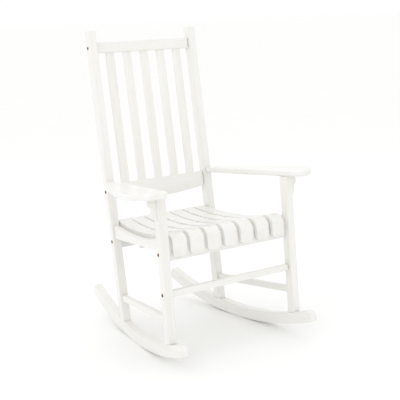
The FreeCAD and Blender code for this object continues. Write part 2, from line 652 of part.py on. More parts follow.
for i in range(1, SEAT_SLATS + 1):
    share = (2 * i - SEAT_SLATS - 1) / (SEAT_SLATS - 1)
    name = f"seat_slat_{i}"
    body, sketch = new_body(name + "_blank", "YZ_Plane", seat_outline)
    feature = pad(body, sketch, "sizes.seat_slat_width")
    feature = ease(body, feature, "_tip", "sizes.seat_tip_round",
                   lambda edge: along_axis(edge, Y_AXIS) and edge.Vertexes[0].Z < lip_low + 0.01)
    ease(body, feature, "_edges", "sizes.edge_ease", on_seat_skin)
    fan = math.degrees(math.atan2(share * (front_spread - back_spread), seat_back - size["seat_front"]))
    slat_frame = Place(Vec(share * front_spread, 0, 0), Turn(Z_AXIS, fan))
    body.Placement = slat_frame.multiply(Place(Vec(-half_slat, 0, 0), Turn()))
    ways = []
    for k, depth in enumerate(screw_depths, 1):
        top = slat_frame.multVec(Vec(0, depth, seat_top(depth) - 0.2))
        under_plug = top - Z_AXIS * size["plug_depth"]
        label = f"{name}_screw_{k}"
        seat_plugs.append(rod(label + "_plug", "sizes.screw_head", "sizes.plug_depth", under_plug, Z_AXIS))
        head = doc.addObject("Part::Cone", label + "_head")
        bind(head, Radius1="sizes.screw_shank / 2", Radius2="sizes.screw_head / 2", Height="3")
        head.Placement = Place(under_plug - Z_AXIS * 3, Turn())
        shank = rod(label + "_shank", "sizes.screw_shank", "sizes.screw_length - 3",
                    under_plug - Z_AXIS * size["screw_length"], Z_AXIS)
        screw = doc.addObject("Part::Fuse", label)
        screw.Base = head
        screw.Tool = shank
        seat_screws.append(screw)
        way = rod(label + "_way", "sizes.screw_shank + sizes.fit_gap", "sizes.screw_length + 1",
                  under_plug - Z_AXIS * (size["screw_length"] + 1), Z_AXIS)
        bore = rod(label + "_bore", "sizes.screw_head + sizes.fit_gap", "12", under_plug - Z_AXIS * 3, Z_AXIS)
        ways.extend([way, bore])
        seat_ways.append((k, way))
    joined = doc.addObject("Part::MultiFuse", name + "_screw_ways")
    joined.Shapes = ways
    keep(name, cut(name, body, [joined]))

# ---- seat rails and bearer, cut square to the floor with ends that follow the side frames --------------
def cross_rail(name, y, low, high, half_front, half_back):
    corners = [(-half_front, y), (half_front, y), (half_back, y + size["seat_rail_thickness"]),
               (-half_back, y + size["seat_rail_thickness"])]
    curves = [line(corners[k], corners[(k + 1) % 4]) for k in range(4)]
    body, sketch = new_body(name + "_blank", "XY_Plane", curves)
    body.Placement = Place(Vec(0, 0, low), Turn())
    return body, pad(body, sketch, f"{high - low}")


def screw_ways(k):
    return [way for which, way in seat_ways if which == k]


rail = size["seat_rail_thickness"]
body, feature = cross_rail("seat_front_rail", front_rail_y, size["front_rail_bottom"], front_rail_top,
                           inner_face(front_rail_y, leg) - gap, inner_face(front_rail_y + rail, leg) - gap)
local_top = front_rail_top - size["front_rail_bottom"]
ease(body, feature, "_roll", "sizes.seat_roll - sizes.seat_slat_thickness - 0.5",
     lambda edge: along_axis(edge, X_AXIS) and edge.Vertexes[0].Z > local_top - 1
     and edge.Vertexes[0].Y < front_rail_y + 1)
keep("seat_front_rail", cut("seat_front_rail", body,
                            both_ends("front_rail_way", rail_cutters["front_rail"]) + screw_ways(1)))
rear_half = post_inner_face(rear_rail_y + rail - post_front_at(size["rear_rail_bottom"])) - gap
body, feature = cross_rail("seat_rear_rail", rear_rail_y, size["rear_rail_bottom"], rear_rail_top,
                           rear_half, rear_half)
keep("seat_rear_rail", cut("seat_rear_rail", body,
                           both_ends("rear_rail_way", rail_cutters["rear_rail"]) + screw_ways(3)))
bearer_top = seat_underside(size["seat_low_back"]) - size["seat_gap"]
bearer_inset = size["side_rail_inset"] + rail
body, feature = cross_rail("seat_bearer", bearer_y, bearer_top - size["bearer_height"], bearer_top,
                           inner_face(bearer_y, bearer_inset) - gap, inner_face(bearer_y + rail, bearer_inset) - gap)
keep("seat_bearer", cut("seat_bearer", body, screw_ways(2)))

# ---- seat side rails: scooped top edge, between the front leg and the raked post ----------------------
side_scoop = (size["seat_low_back"], size["side_rail_low"] + size["side_rail_radius"])


def side_rail_top(along):
    return side_scoop[1] - math.sqrt(size["side_rail_radius"] ** 2 - (along - side_scoop[0]) ** 2)


rail_front = leg + gap
rail_back_low = post_face_along(size["side_rail_bottom_back"]) - 2 * gap
rail_back_high = post_face_along(side_rail_top(rail_back_low)) - 2 * gap
ends = [(rail_front, size["side_rail_bottom_front"]), (rail_back_low, size["side_rail_bottom_back"]),
        (rail_back_high, side_rail_top(rail_back_high)), (rail_front, side_rail_top(rail_front))]
curves = [line(ends[0], ends[1]), line(ends[1], ends[2]),
          arc(ends[2], (side_scoop[0], size["side_rail_low"]), ends[3]), line(ends[3], ends[0])]
body, sketch = new_body("seat_side_rail_blank", "YZ_Plane", curves)
feature = pad(body, sketch, "sizes.seat_rail_thickness")
bevel(body, feature, "sizes.edge_ease * 0.7",
      lambda edge: not along_axis(edge, X_AXIS) and edge.Length > 100)
body.Placement = side_frame.multiply(Place(Vec(size["side_rail_inset"], 0, 0), Turn()))
keep_pair("seat_side_rail", cut("seat_side_rail_left", body, side_rail_cutters))

# ---- front stretcher -----------------------------------------------------------------------------------
stretcher_half = inner_face(size["front_stretcher_setback"] + size["stretcher_thickness"], leg) - gap
bar = box("front_stretcher_blank", f"{2 * stretcher_half}", "sizes.stretcher_thickness", "sizes.stretcher_height",
          Place(Vec(-stretcher_half, size["front_stretcher_setback"],
                    size["front_stretcher_level"] - size["stretcher_height"] / 2), Turn()))
bar = rounded("front_stretcher_eased", bar, size["edge_ease"], lambda edge: along_axis(edge, X_AXIS))
keep("front_stretcher", cut("front_stretcher", bar, both_ends("stretcher_way", rail_cutters["front_stretcher"])))

# ---- arms: a paddle that is narrow at the post and wide and round at the hand ---------------------------
arm_back = post_face_along(arm_bottom) - 2 * gap
palm = size["arm_palm"]
nose = size["arm_nose"]
inner = size["arm_inner"]
root = size["arm_root"]
hand = Part.BSplineCurve()
hand.interpolate([Vec(inner + 2, -nose * 0.25, 0), Vec(inner * 0.55, -nose * 0.82, 0), Vec(-palm * 0.08, -nose, 0),
                  Vec(-palm * 0.42, -nose * 0.80, 0), Vec(-palm * 0.74, -nose * 0.34, 0),
                  Vec(-palm * 0.95, nose * 0.22, 0), Vec(-palm, nose * 0.85, 0),
                  Vec(-palm * 0.93, arm_back * 0.27, 0), Vec(-palm * 0.75, arm_back * 0.46, 0),
                  Vec(-palm * 0.52, arm_back * 0.70, 0), Vec(-root, arm_back, 0)])
hand_start = (hand.StartPoint.x, hand.StartPoint.y)
hand_end = (hand.EndPoint.x, hand.EndPoint.y)
inner_back = (inner - 2, arm_back)
body, sketch = new_body("arm_blank", "XY_Plane", [hand, line(hand_end, inner_back), line(inner_back, hand_start)])
feature = pad(body, sketch, "sizes.arm_thickness")
ease(body, feature, "_edges", "sizes.arm_edge_round",
     lambda edge: (in_end_face(edge, Z_AXIS, 0) or in_end_face(edge, Z_AXIS, size["arm_thickness"]))
     and edge.Length > size["arm_palm"])
body.Placement = side_frame.multiply(Place(Vec(0, 0, arm_bottom), Turn()))
keep_pair("arm", cut("arm_left", body, arm_cutters))

# ---- arm brackets: a stepped and scrolled block on the outer face of each front leg ----------------------
out = size["bracket_reach"]
tall = size["bracket_height"]
top = arm_bottom - size["seat_gap"]
steps = [(0, top), (-out, top), (-out, top - tall * 0.30), (-out * 0.70, top - tall * 0.38),
         (-out * 0.60, top - tall * 0.62), (-out * 0.30, top - tall * 0.78), (0, top - tall)]
curves = [line(steps[0], steps[1]), line(steps[1], steps[2]),
          arc(steps[2], (-out * 0.88, top - tall * 0.37), steps[3]),
          arc(steps[3], (-out * 0.58, top - tall * 0.50), steps[4]),
          arc(steps[4], (-out * 0.52, top - tall * 0.74), steps[5]),
          arc(steps[5], (-out * 0.14, top - tall * 0.86), steps[6]), line(steps[6], steps[0])]
body, sketch = new_body("arm_bracket_blank", "XZ_Plane", curves)
feature = pad(body, sketch, "sizes.bracket_thickness", True)
body.Placement = side_frame.multiply(Place(Vec(0, (leg - size["bracket_thickness"]) / 2, 0), Turn()))
body.Label = "arm_bracket_left"
keep_pair("arm_bracket", body)

# ---- groups of identical small parts -----------------------------------------------------------------------
for name, left in (("frame_bolts", bolts), ("barrel_nuts", nuts), ("dowels", dowels),
                   ("rocker_screws", foot_screws)):
    half = group(name + "_half", left)
    keep(name, group(name, [half, mirrored(name + "_other_half", half)]))
keep("seat_screws", group("seat_screws", seat_screws))
keep("seat_screw_plugs", group("seat_screw_plugs", seat_plugs))
doc.recompute()

# ---- the stance: the chair tips back until its weight is over the point where the rockers touch ---------------
weight = 0.0
moment = Vec(0, 0, 0)
for name, thing in parts.items():
    density = STEEL_DENSITY if name in STEEL_PARTS else WOOD_DENSITY
    for solid in thing.Shape.Solids:
        weight += solid.Volume * density
        moment += solid.CenterOfMass * solid.Volume * density
balance = moment * (1 / weight)
rocker_y = side_frame.multVec(Vec(leg / 2, rocker_middle, 0)).y
tip = math.degrees(math.atan2((balance.y - rocker_y) * math.cos(splay), size["rocker_radius"] - balance.z))
stance = Place(Vec(0, 0, 0), Turn(X_AXIS, -tip))
tipped = [thing.Shape.copy() for thing in parts.values()]
for shape in tipped:
    shape.Placement = stance.multiply(shape.Placement)
whole = Part.makeCompound(tipped)
bounds = whole.optimalBoundingBox(False, False)
stance = Place(Vec(0, -(bounds.YMin + bounds.YMax) / 2, -bounds.ZMin), Turn(X_AXIS, -tip))
for name, thing in parts.items():
    if not thing.isDerivedFrom("Part::Mirroring"):
        thing.Placement = stance.multiply(thing.Placement)
doc.recompute()

# ---- checks and export ------------------------------------------------------------------------------------------
for thing in doc.Objects:
    if "Invalid" in thing.State or "Error" in thing.State:
        raise RuntimeError(f"{thing.Name} failed: {thing.State}")
os.makedirs("parts", exist_ok=True)
for name, thing in parts.items():
    if thing.Shape.isNull() or not thing.Shape.isValid():
        raise RuntimeError(f"{name} has no valid shape")
    thing.Shape.exportStep(f"parts/{name}.step")
print(f"{len(parts)} sub-parts, {weight:.2f} kg, tips back {tip:.2f} degrees")
print(f"size {bounds.XLength:.1f} x {bounds.YLength:.1f} x {bounds.ZLength:.1f} mm")
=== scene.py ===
import json
import math

import bmesh
import bpy
from mathutils import Matrix, Vector


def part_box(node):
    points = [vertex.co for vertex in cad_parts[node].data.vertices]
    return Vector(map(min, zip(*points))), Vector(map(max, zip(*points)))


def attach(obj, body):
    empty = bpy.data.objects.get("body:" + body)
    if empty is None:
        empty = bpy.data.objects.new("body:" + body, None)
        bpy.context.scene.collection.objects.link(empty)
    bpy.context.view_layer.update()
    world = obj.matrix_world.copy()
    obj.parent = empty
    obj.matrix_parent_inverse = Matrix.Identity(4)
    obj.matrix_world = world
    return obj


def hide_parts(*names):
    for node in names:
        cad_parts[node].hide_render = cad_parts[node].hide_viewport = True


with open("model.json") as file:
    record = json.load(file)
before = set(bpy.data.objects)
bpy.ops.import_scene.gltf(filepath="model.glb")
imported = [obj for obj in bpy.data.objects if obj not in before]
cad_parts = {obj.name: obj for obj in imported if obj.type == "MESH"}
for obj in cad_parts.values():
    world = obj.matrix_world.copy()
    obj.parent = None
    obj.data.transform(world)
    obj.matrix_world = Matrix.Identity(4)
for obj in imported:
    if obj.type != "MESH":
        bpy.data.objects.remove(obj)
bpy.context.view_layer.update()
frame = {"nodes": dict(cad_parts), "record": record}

print("frame loaded:", len(frame["nodes"]), "nodes")

# The chair is set out square, with its front legs upright, in millimetres: X across, -Y forward, Z up.
# It is then tipped back to the angle at which it balances on its rockers.
chair = {
    "height": 1140,          # to the top of the back posts
    "frontWidth": 572,       # over the outer faces of the front legs
    "splay": 7.2,            # degrees each side frame turns in towards the back
    "rake": 4.1,             # degrees the back posts lean
    "stock": 32,             # square section of legs and posts
    "legSpacing": 407,       # front face of leg to front face of post
    "armHeight": 586,
    "paintSoftening": 1.6,   # how far paint and sanding round an ordinary board edge
    "stockEdge": 2.5,        # rounding of legs and posts
    "railEdge": 2.2,         # rounding of crest and lumbar rails and stretchers
}
rocker = {"radius": 1143, "depth": 43, "nose": 85, "tail": 276, "noseRound": 26, "tailRound": 14, "corner": 7,
          "edge": 2.4, "arcSteps": 72}
arm = {"thickness": 20, "inner": 27, "palm": 104, "nose": 66, "root": 12, "edgeRound": 5}
play = {
    "end": 0.2,              # board ends against legs, posts and slats
    "seat": 0.1,             # edges that seat on one another
    "slope": 0.4,            # board ends against the leaning posts
}

splay = math.radians(chair["splay"])
rake = math.radians(chair["rake"])
stock = chair["stock"]
halfWidth = chair["frontWidth"] / 2
rockerMiddle = (chair["legSpacing"] + stock) / 2
topEdgeRadius = rocker["radius"] - rocker["depth"]


def rockerTop(along):
    return rocker["radius"] - math.sqrt(topEdgeRadius ** 2 - (along - rockerMiddle) ** 2)


postFoot = rockerTop(chair["legSpacing"])
postHalfWidth = halfWidth - chair["legSpacing"] * math.sin(splay)
postFront = chair["legSpacing"] * math.cos(splay)
postLength = (chair["height"] - postFoot) / math.cos(rake)
backOrigin = Vector((0, postFront - stock / 2 * math.sin(splay), postFoot))
sideFrame = Matrix.Translation((-halfWidth, 0, 0)) @ Matrix.Rotation(-splay, 4, "Z")
backFrame = Matrix.Translation(backOrigin) @ Matrix.Rotation(-rake, 4, "X")
acrossMirror = Matrix.Scale(-1, 4, (1, 0, 0))


def faceOfFrame(y, inset):
    # half the clear width between the two side frames, at a depth y and an inset from their outer faces
    return halfWidth - y * math.tan(splay) - inset / math.cos(splay)


def faceOfPost(depth):
    inner = postHalfWidth - stock * math.cos(splay)
    return inner - (depth + stock / 2 * math.sin(splay)) * math.tan(splay)


def postFrontAt(height):
    return backOrigin.y + (height - postFoot) * math.tan(rake)


def postFaceAlong(height):
    return chair["legSpacing"] + (height - postFoot) * math.tan(rake) * math.cos(splay)


# seat curve: a scoop that rolls over the front rail
seat = {
    "low": 413.5, "lowAt": 240, "scoop": 1000, "roll": 34, "front": 0.5, "lip": 44, "tipRound": 14,
    "slatWidth": 53, "slatThickness": 14, "slats": 7, "legGap": 15.5, "postGap": 2.5, "rail": 20,
    "frontRailBottom": 344, "rearRailBottom": 333, "rearSetback": 3, "bearer": 40, "edge": 2.2,
    "boltRise": 26,          # bolts above the undersides of the front and rear rails
}
scoopCentre = (seat["lowAt"], seat["low"] + seat["scoop"])
rollReach = seat["scoop"] + seat["roll"]
rollY = seat["front"] + seat["roll"]
rollCentre = (rollY, scoopCentre[1] - math.sqrt(rollReach ** 2 - (scoopCentre[0] - rollY) ** 2))
joinAngle = math.degrees(math.atan2(scoopCentre[1] - rollCentre[1], scoopCentre[0] - rollCentre[0]))
joinY = rollCentre[0] + seat["roll"] * math.cos(math.radians(joinAngle))
lipLow = rollCentre[1] - seat["lip"]
frontRailY = seat["front"] + seat["slatThickness"] + play["end"]
frontRailTop = rollCentre[1] + seat["roll"] - seat["slatThickness"] - play["end"]
rearRailY = postFrontAt(seat["low"]) + seat["rearSetback"]
seatBack = rearRailY + seat["rail"]
bearerY = seat["lowAt"] - seat["rail"] / 2


def seatTop(y):
    if y < joinY:
        return rollCentre[1] + math.sqrt(seat["roll"] ** 2 - (y - rollCentre[0]) ** 2)
    return scoopCentre[1] - math.sqrt(seat["scoop"] ** 2 - (y - scoopCentre[0]) ** 2)


def seatUnderside(y):
    radius = seat["scoop"] + seat["slatThickness"]
    return scoopCentre[1] - math.sqrt(radius ** 2 - (y - scoopCentre[0]) ** 2)


# the stance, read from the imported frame
armFace = next(mount for mount in frame["record"]["mounts"] if mount["name"] == "arm_top_left")
tipBack = math.atan2(armFace["axis"][1], armFace["axis"][2])
tilt = Matrix.Rotation(-tipBack, 4, "X")
bearerLow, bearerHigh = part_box("seat_bearer")
bearerTop = seatUnderside(seat["lowAt"]) - play["seat"]
bearerCentre = tilt @ Vector((0, seat["lowAt"], bearerTop - seat["bearer"] / 2)) * 0.001
stance = Matrix.Translation((bearerLow + bearerHigh) / 2 - bearerCentre) @ tilt @ Matrix.Scale(0.001, 4)
print("stance: tipped back", round(math.degrees(tipBack), 2), "degrees")


# materials

def linearColour(hexValue):
    channels = [int(hexValue[i:i + 2], 16) / 255 for i in (1, 3, 5)]
    return [c / 12.92 if c <= 0.04045 else ((c + 0.055) / 1.055) ** 2.4 for c in channels] + [1.0]


def addNode(tree, kind, settings=None, links=None):
    # links maps an input name or number to (node, output name)
    node = tree.nodes.new(kind)
    for key, value in (settings or {}).items():
        if isinstance(key, str) and key not in node.inputs:
            setattr(node, key, value)
        else:
            node.inputs[key].default_value = value
    for key, (source, output) in (links or {}).items():
        tree.links.new(source.outputs[output], node.inputs[key])
    return node


def newMaterial(name):
    material = bpy.data.materials.new(name)
    material.use_nodes = True
    tree = material.node_tree
    tree.nodes.clear()
    surface = addNode(tree, "ShaderNodeBsdfPrincipled")
    addNode(tree, "ShaderNodeOutputMaterial", links={"Surface": (surface, "BSDF")})
    return material, tree, surface


def rampOf(tree, source, output, stops):
    ramp = addNode(tree, "ShaderNodeValToRGB", links={"Fac": (source, output)})
    elements = ramp.color_ramp.elements
    while len(elements) < len(stops):
        elements.new(0.5)
    for element, (place, colour) in zip(elements, stops):
        element.position = place
        element.color = linearColour(colour) if isinstance(colour, str) else (colour, colour, colour, 1)
    return ramp


paint = {
    "white": "#eeede9", "warmer": "#ebe9e3", "cooler": "#efefed",
    "poreTone": 0.05,      # how much the pore lines darken the paint
    "roughLow": 0.25, "roughHigh": 0.39, "ior": 1.5, "coat": 0.35, "coatRoughness": 0.12,
    "grainMm": 3.0,        # real pore lines are near 1 mm apart, drawn coarser so that they show
    "figureMm": 27,        # broad bands of tone along the grain
    "grainStretch": 26,    # pores run this many times longer than they are wide
    "peelMm": 2.2,         # orange peel of sprayed paint
    "waveMm": 60,          # slow unevenness of a hand sanded board
    "grainDepth": 0.00004, "peelDepth": 0.00002, "waveDepth": 0.00015,    # metres
}


def whitePaint(name, grainAxis):
    # Satin white paint sprayed on sanded hardwood: clean and faintly warm, with long pore lines just
    # telegraphing through, a fine orange peel in the shine and slow waves from the sanding.
    material, tree, surface = newMaterial(name)
    place = addNode(tree, "ShaderNodeAttribute", {"attribute_name": "boardSpace"})
    each = addNode(tree, "ShaderNodeObjectInfo")
    apart = addNode(tree, "ShaderNodeVectorMath", {"operation": "SCALE", 0: (3.1, 7.7, 5.3)},
                    {"Scale": (each, "Random")})
    own = addNode(tree, "ShaderNodeVectorMath", {"operation": "ADD"},
                  {0: (place, "Vector"), 1: (apart, "Vector")})
    stretch = [1.0, 1.0, 1.0]
    stretch["XYZ".index(grainAxis)] = 1 / paint["grainStretch"]
    along = addNode(tree, "ShaderNodeMapping", {"Scale": stretch}, {"Vector": (own, "Vector")})
    pores = addNode(tree, "ShaderNodeTexNoise",
                    {"Scale": 1000 / paint["grainMm"], "Detail": 3.0, "Roughness": 0.6, "Distortion": 0.3},
                    {"Vector": (along, "Vector")})
    figure = addNode(tree, "ShaderNodeTexNoise", {"Scale": 1000 / paint["figureMm"], "Detail": 2.0},
                     {"Vector": (along, "Vector")})
    peel = addNode(tree, "ShaderNodeTexNoise", {"Scale": 1000 / paint["peelMm"], "Detail": 1.0},
                   {"Vector": (own, "Vector")})
    wave = addNode(tree, "ShaderNodeTexNoise", {"Scale": 1000 / paint["waveMm"], "Detail": 1.0},
                   {"Vector": (own, "Vector")})
    cuts = rampOf(tree, pores, "Fac", [(0.34, 0.0), (0.50, 1.0)])
    tone = rampOf(tree, figure, "Fac",
                  [(0.30, paint["warmer"]), (0.52, paint["white"]), (0.75, paint["cooler"])])
    poreTone = addNode(tree, "ShaderNodeMix", {"data_type": "RGBA", "blend_type": "MULTIPLY"},
                       {6: (tone, "Color")})
    poreTone.inputs[0].default_value = paint["poreTone"]
    tree.links.new(cuts.outputs["Color"], poreTone.inputs[7])
    tree.links.new(poreTone.outputs[2], surface.inputs["Base Color"])
    shine = addNode(tree, "ShaderNodeMapRange", {"To Min": paint["roughLow"], "To Max": paint["roughHigh"]},
                    {"Value": (wave, "Fac")})
    tree.links.new(shine.outputs["Result"], surface.inputs["Roughness"])
    waveBump = addNode(tree, "ShaderNodeBump", {"Strength": 1.0, "Distance": paint["waveDepth"]},
                       {"Height": (wave, "Fac")})
    peelBump = addNode(tree, "ShaderNodeBump", {"Strength": 1.0, "Distance": paint["peelDepth"]},
                       {"Height": (peel, "Fac"), "Normal": (waveBump, "Normal")})
    poreBump = addNode(tree, "ShaderNodeBump", {"Strength": 1.0, "Distance": paint["grainDepth"]},
                       {"Height": (cuts, "Color"), "Normal": (peelBump, "Normal")})
    tree.links.new(poreBump.outputs["Normal"], surface.inputs["Normal"])
    surface.inputs["IOR"].default_value = paint["ior"]
    surface.inputs["Coat Weight"].default_value = paint["coat"]
    surface.inputs["Coat Roughness"].default_value = paint["coatRoughness"]
    return material


paintAlong = {axis: whitePaint("satinWhitePaint" + axis, axis) for axis in "XYZ"}


def paintedFiller():
    # Wood filler under the same paint: a touch duller and greyer than the board round it, finely pitted.
    material, tree, surface = newMaterial("paintedWoodFiller")
    place = addNode(tree, "ShaderNodeTexCoord")
    pits = addNode(tree, "ShaderNodeTexNoise", {"Scale": 900.0, "Detail": 3.0}, {"Vector": (place, "Object")})
    tone = rampOf(tree, pits, "Fac", [(0.3, "#d9d8d2"), (0.7, "#e6e5e0")])
    tree.links.new(tone.outputs["Color"], surface.inputs["Base Color"])
    bump = addNode(tree, "ShaderNodeBump", {"Strength": 1.0, "Distance": 0.00012}, {"Height": (pits, "Fac")})
    tree.links.new(bump.outputs["Normal"], surface.inputs["Normal"])
    surface.inputs["Roughness"].default_value = 0.5
    return material


def antiqueBrass():
    # Antique brass plating on steel: dark brown metal, with warm gold rubbed through on the high edges.
    material, tree, surface = newMaterial("antiqueBrassPlating")
    place = addNode(tree, "ShaderNodeTexCoord")
    cloud = addNode(tree, "ShaderNodeTexNoise", {"Scale": 420.0, "Detail": 4.0, "Roughness": 0.65},
                    {"Vector": (place, "Object")})
    tone = rampOf(tree, cloud, "Fac", [(0.35, "#3a2a1b"), (0.55, "#5a4227"), (0.75, "#8b6b3a")])
    shape = addNode(tree, "ShaderNodeNewGeometry")
    rim = rampOf(tree, shape, "Pointiness", [(0.50, 0.0), (0.58, 1.0)])
    worn = addNode(tree, "ShaderNodeMix", {"data_type": "RGBA"}, {0: (rim, "Color"), 6: (tone, "Color")})
    worn.inputs[7].default_value = linearColour("#a98547")
    tree.links.new(worn.outputs[2], surface.inputs["Base Color"])
    rough = addNode(tree, "ShaderNodeMapRange", {"To Min": 0.28, "To Max": 0.5}, {"Value": (cloud, "Fac")})
    tree.links.new(rough.outputs["Result"], surface.inputs["Roughness"])
    surface.inputs["Metallic"].default_value = 1.0
    return material


def zincPlate():
    # Bright zinc plated steel, pale grey with a faint blotchy bloom.
    material, tree, surface = newMaterial("zincPlatedSteel")
    place = addNode(tree, "ShaderNodeTexCoord")
    bloom = addNode(tree, "ShaderNodeTexNoise", {"Scale": 260.0, "Detail": 3.0},
                    {"Vector": (place, "Object")})
    tone = rampOf(tree, bloom, "Fac", [(0.3, "#a9abab"), (0.7, "#c6c7c4")])
    tree.links.new(tone.outputs["Color"], surface.inputs["Base Color"])
    surface.inputs["Metallic"].default_value = 1.0
    surface.inputs["Roughness"].default_value = 0.35
    return material


def beechDowel():
    # Bare beech: pale pinkish tan with short dark flecks.
    material, tree, surface = newMaterial("beechDowelWood")
    place = addNode(tree, "ShaderNodeTexCoord")
    flecks = addNode(tree, "ShaderNodeTexNoise", {"Scale": 500.0, "Detail": 4.0},
                     {"Vector": (place, "Object")})
    tone = rampOf(tree, flecks, "Fac", [(0.35, "#a9825a"), (0.6, "#cba67a")])
    tree.links.new(tone.outputs["Color"], surface.inputs["Base Color"])
    surface.inputs["Roughness"].default_value = 0.6
    return material


filler = paintedFiller()
brass = antiqueBrass()
zinc = zincPlate()
beech = beechDowel()
print("materials made")


# board making

def roundCorners(points, radii, steps=8):
    # points go round the outline; each corner with a radius becomes an arc
    made = []
    count = len(points)
    for i, point in enumerate(points):
        radius = radii.get(i, 0)
        corner = Vector(point)
        if not radius:
            made.append(corner)
            continue
        before = (Vector(points[i - 1]) - corner).normalized()
        after = (Vector(points[(i + 1) % count]) - corner).normalized()
        half = before.angle(after) / 2
        centre = corner + (before + after).normalized() * radius / math.sin(half)
        reach = radius / math.tan(half)
        first, last = corner + before * reach - centre, corner + after * reach - centre
        turn = first.angle_signed(last)
        for k in range(steps + 1):
            made.append(centre + Matrix.Rotation(-turn * k / steps, 2) @ first)
    return made


def rectangle(left, right, low, high):
    return [Vector((left, low)), Vector((right, low)), Vector((right, high)), Vector((left, high))]


def arcPoints(centre, radius, start, end, count):
    return [Vector((centre[0] + radius * math.cos(math.radians(start + (end - start) * k / count)),
                    centre[1] + radius * math.sin(math.radians(start + (end - start) * k / count))))
            for k in range(count + 1)]


# how an outline's two directions and its thickness lie in the board's own axes
layouts = {
    "across": lambda a, b, t: Vector((t, a, b)),     # outline in Y and Z, thickness along X
    "deep": lambda a, b, t: Vector((a, t, b)),       # outline in X and Z, thickness along Y
    "flat": lambda a, b, t: Vector((a, b, t)),       # outline in X and Y, thickness along Z
}


def finishPiece(name, mesh, place, side, material, nodes, soften, segments=3, smoothAngle=35):
    if side == "right":
        mesh.transform(acrossMirror)
        mesh.flip_normals()
        place = acrossMirror @ place @ acrossMirror
    # the grain follows each board's own axes, so its places are kept from before it is moved
    boardSpace = mesh.attributes.new("boardSpace", "FLOAT_VECTOR", "POINT")
    for vertex in mesh.vertices:
        boardSpace.data[vertex.index].vector = vertex.co * 0.001
    mesh.transform(stance @ place)
    piece = bpy.data.objects.new(name, mesh)
    bpy.context.scene.collection.objects.link(piece)
    mesh.materials.append(material)
    if soften:
        bevel = piece.modifiers.new("softenedEdges", "BEVEL")
        bevel.width = soften * 0.001
        bevel.segments = segments
        bevel.limit_method = "ANGLE"
        bevel.angle_limit = math.radians(smoothAngle)
        normals = piece.modifiers.new("evenShading", "WEIGHTED_NORMAL")
        normals.keep_sharp = True
        normals.weight = 70
    for polygon in mesh.polygons:
        polygon.use_smooth = True
    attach(piece, "root")
    if nodes:
        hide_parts(*nodes)
    return piece


def joinRings(form, first, second):
    for i in range(len(first)):
        j = (i + 1) % len(first)
        form.faces.new((first[i], first[j], second[j], second[i]))


def meshOf(name, form):
    bmesh.ops.recalc_face_normals(form, faces=form.faces)
    mesh = bpy.data.meshes.new(name)
    form.to_mesh(mesh)
    form.free()
    return mesh


def outlineMesh(name, outline, low, high, layout):
    put = layouts[layout]
    form = bmesh.new()
    under = [form.verts.new(put(p[0], p[1], low)) for p in outline]
    over = [form.verts.new(put(p[0], p[1], high)) for p in outline]
    form.faces.new(under)
    form.faces.new(over)
    joinRings(form, under, over)
    return meshOf(name, form)


def board(name, outline, low, high, layout, place, grain, nodes, side="left", soften=None, **more):
    mesh = outlineMesh(name, outline, low, high, layout)
    soften = chair["paintSoftening"] if soften is None else soften
    return finishPiece(name, mesh, place, side, paintAlong[grain], nodes, soften, **more)


def bothSides(make):
    for side in ("left", "right"):
        make(side)


# rockers: two arcs, with a well rounded nose and an eased tail
def makeRocker(side):
    middle = (rockerMiddle, rocker["radius"])
    nose = -90 - math.degrees(math.asin((rockerMiddle + rocker["nose"]) / rocker["radius"]))
    tail = -90 + math.degrees(math.asin((rockerMiddle + rocker["tail"]) / rocker["radius"]))
    running = arcPoints(middle, rocker["radius"], nose, tail, rocker["arcSteps"])
    upper = arcPoints(middle, topEdgeRadius, tail, nose, rocker["arcSteps"])
    outline = running + upper
    ends = {0: rocker["corner"], len(running) - 1: rocker["tailRound"],
            len(running): rocker["corner"], len(outline) - 1: rocker["noseRound"]}
    outline = trimAndRound(outline, ends)
    board("rockerRunner_" + side, outline, 0, stock, "across", sideFrame, "Y", ["rocker_" + side], side,
          rocker["edge"])


def trimAndRound(outline, corners):
    # drops outline points that a rounded corner swallows, then rounds the corner
    kept, radii = [], {}
    reach = 1.15             # a little past the radius, so that no point is left close beside the arc
    for i, point in enumerate(outline):
        swallowed = any(i != c and i not in corners and (point - outline[c]).length < r * reach
                        for c, r in corners.items())
        if not swallowed:
            if i in corners:
                radii[len(kept)] = corners[i]
            kept.append(point)
    return roundCorners(kept, radii)


bothSides(makeRocker)


# legs and posts, with feet shaped to the rocker
def makeLeg(side):
    steps = 6
    foot = [Vector((stock * k / steps, rockerTop(stock * k / steps))) for k in range(steps + 1)]
    top = chair["armHeight"] - arm["thickness"]
    outline = foot + [Vector((stock, top)), Vector((0, top))]
    board("frontLeg_" + side, outline, 0, stock, "across", sideFrame, "Z", ["front_leg_" + side], side,
          chair["stockEdge"], segments=4)


def makePost(side):
    place = backFrame @ Matrix.Translation((-postHalfWidth, stock / 2 * math.sin(splay), 0)) @ \
        Matrix.Rotation(-splay, 4, "Z")
    form = bmesh.new()
    corners = [(0, 0), (stock, 0), (stock, stock), (0, stock)]
    feet, tops = [], []
    for x, y in corners:
        foot = Vector((x, y, 0))
        for _ in range(4):           # slide each corner down its edge until it meets the rocker's top
            square = place @ foot
            along = (sideFrame.inverted() @ square).y
            foot.z += (rockerTop(along) - square.z) / math.cos(rake)
        feet.append(form.verts.new(foot))
        tops.append(form.verts.new((x, y, postLength)))
    form.faces.new(feet)
    form.faces.new(tops)
    joinRings(form, feet, tops)
    name = "backPost_" + side
    finishPiece(name, meshOf(name, form), place, side, paintAlong["Z"], ["back_post_" + side],
                chair["stockEdge"], 4)


bothSides(makeLeg)
bothSides(makePost)

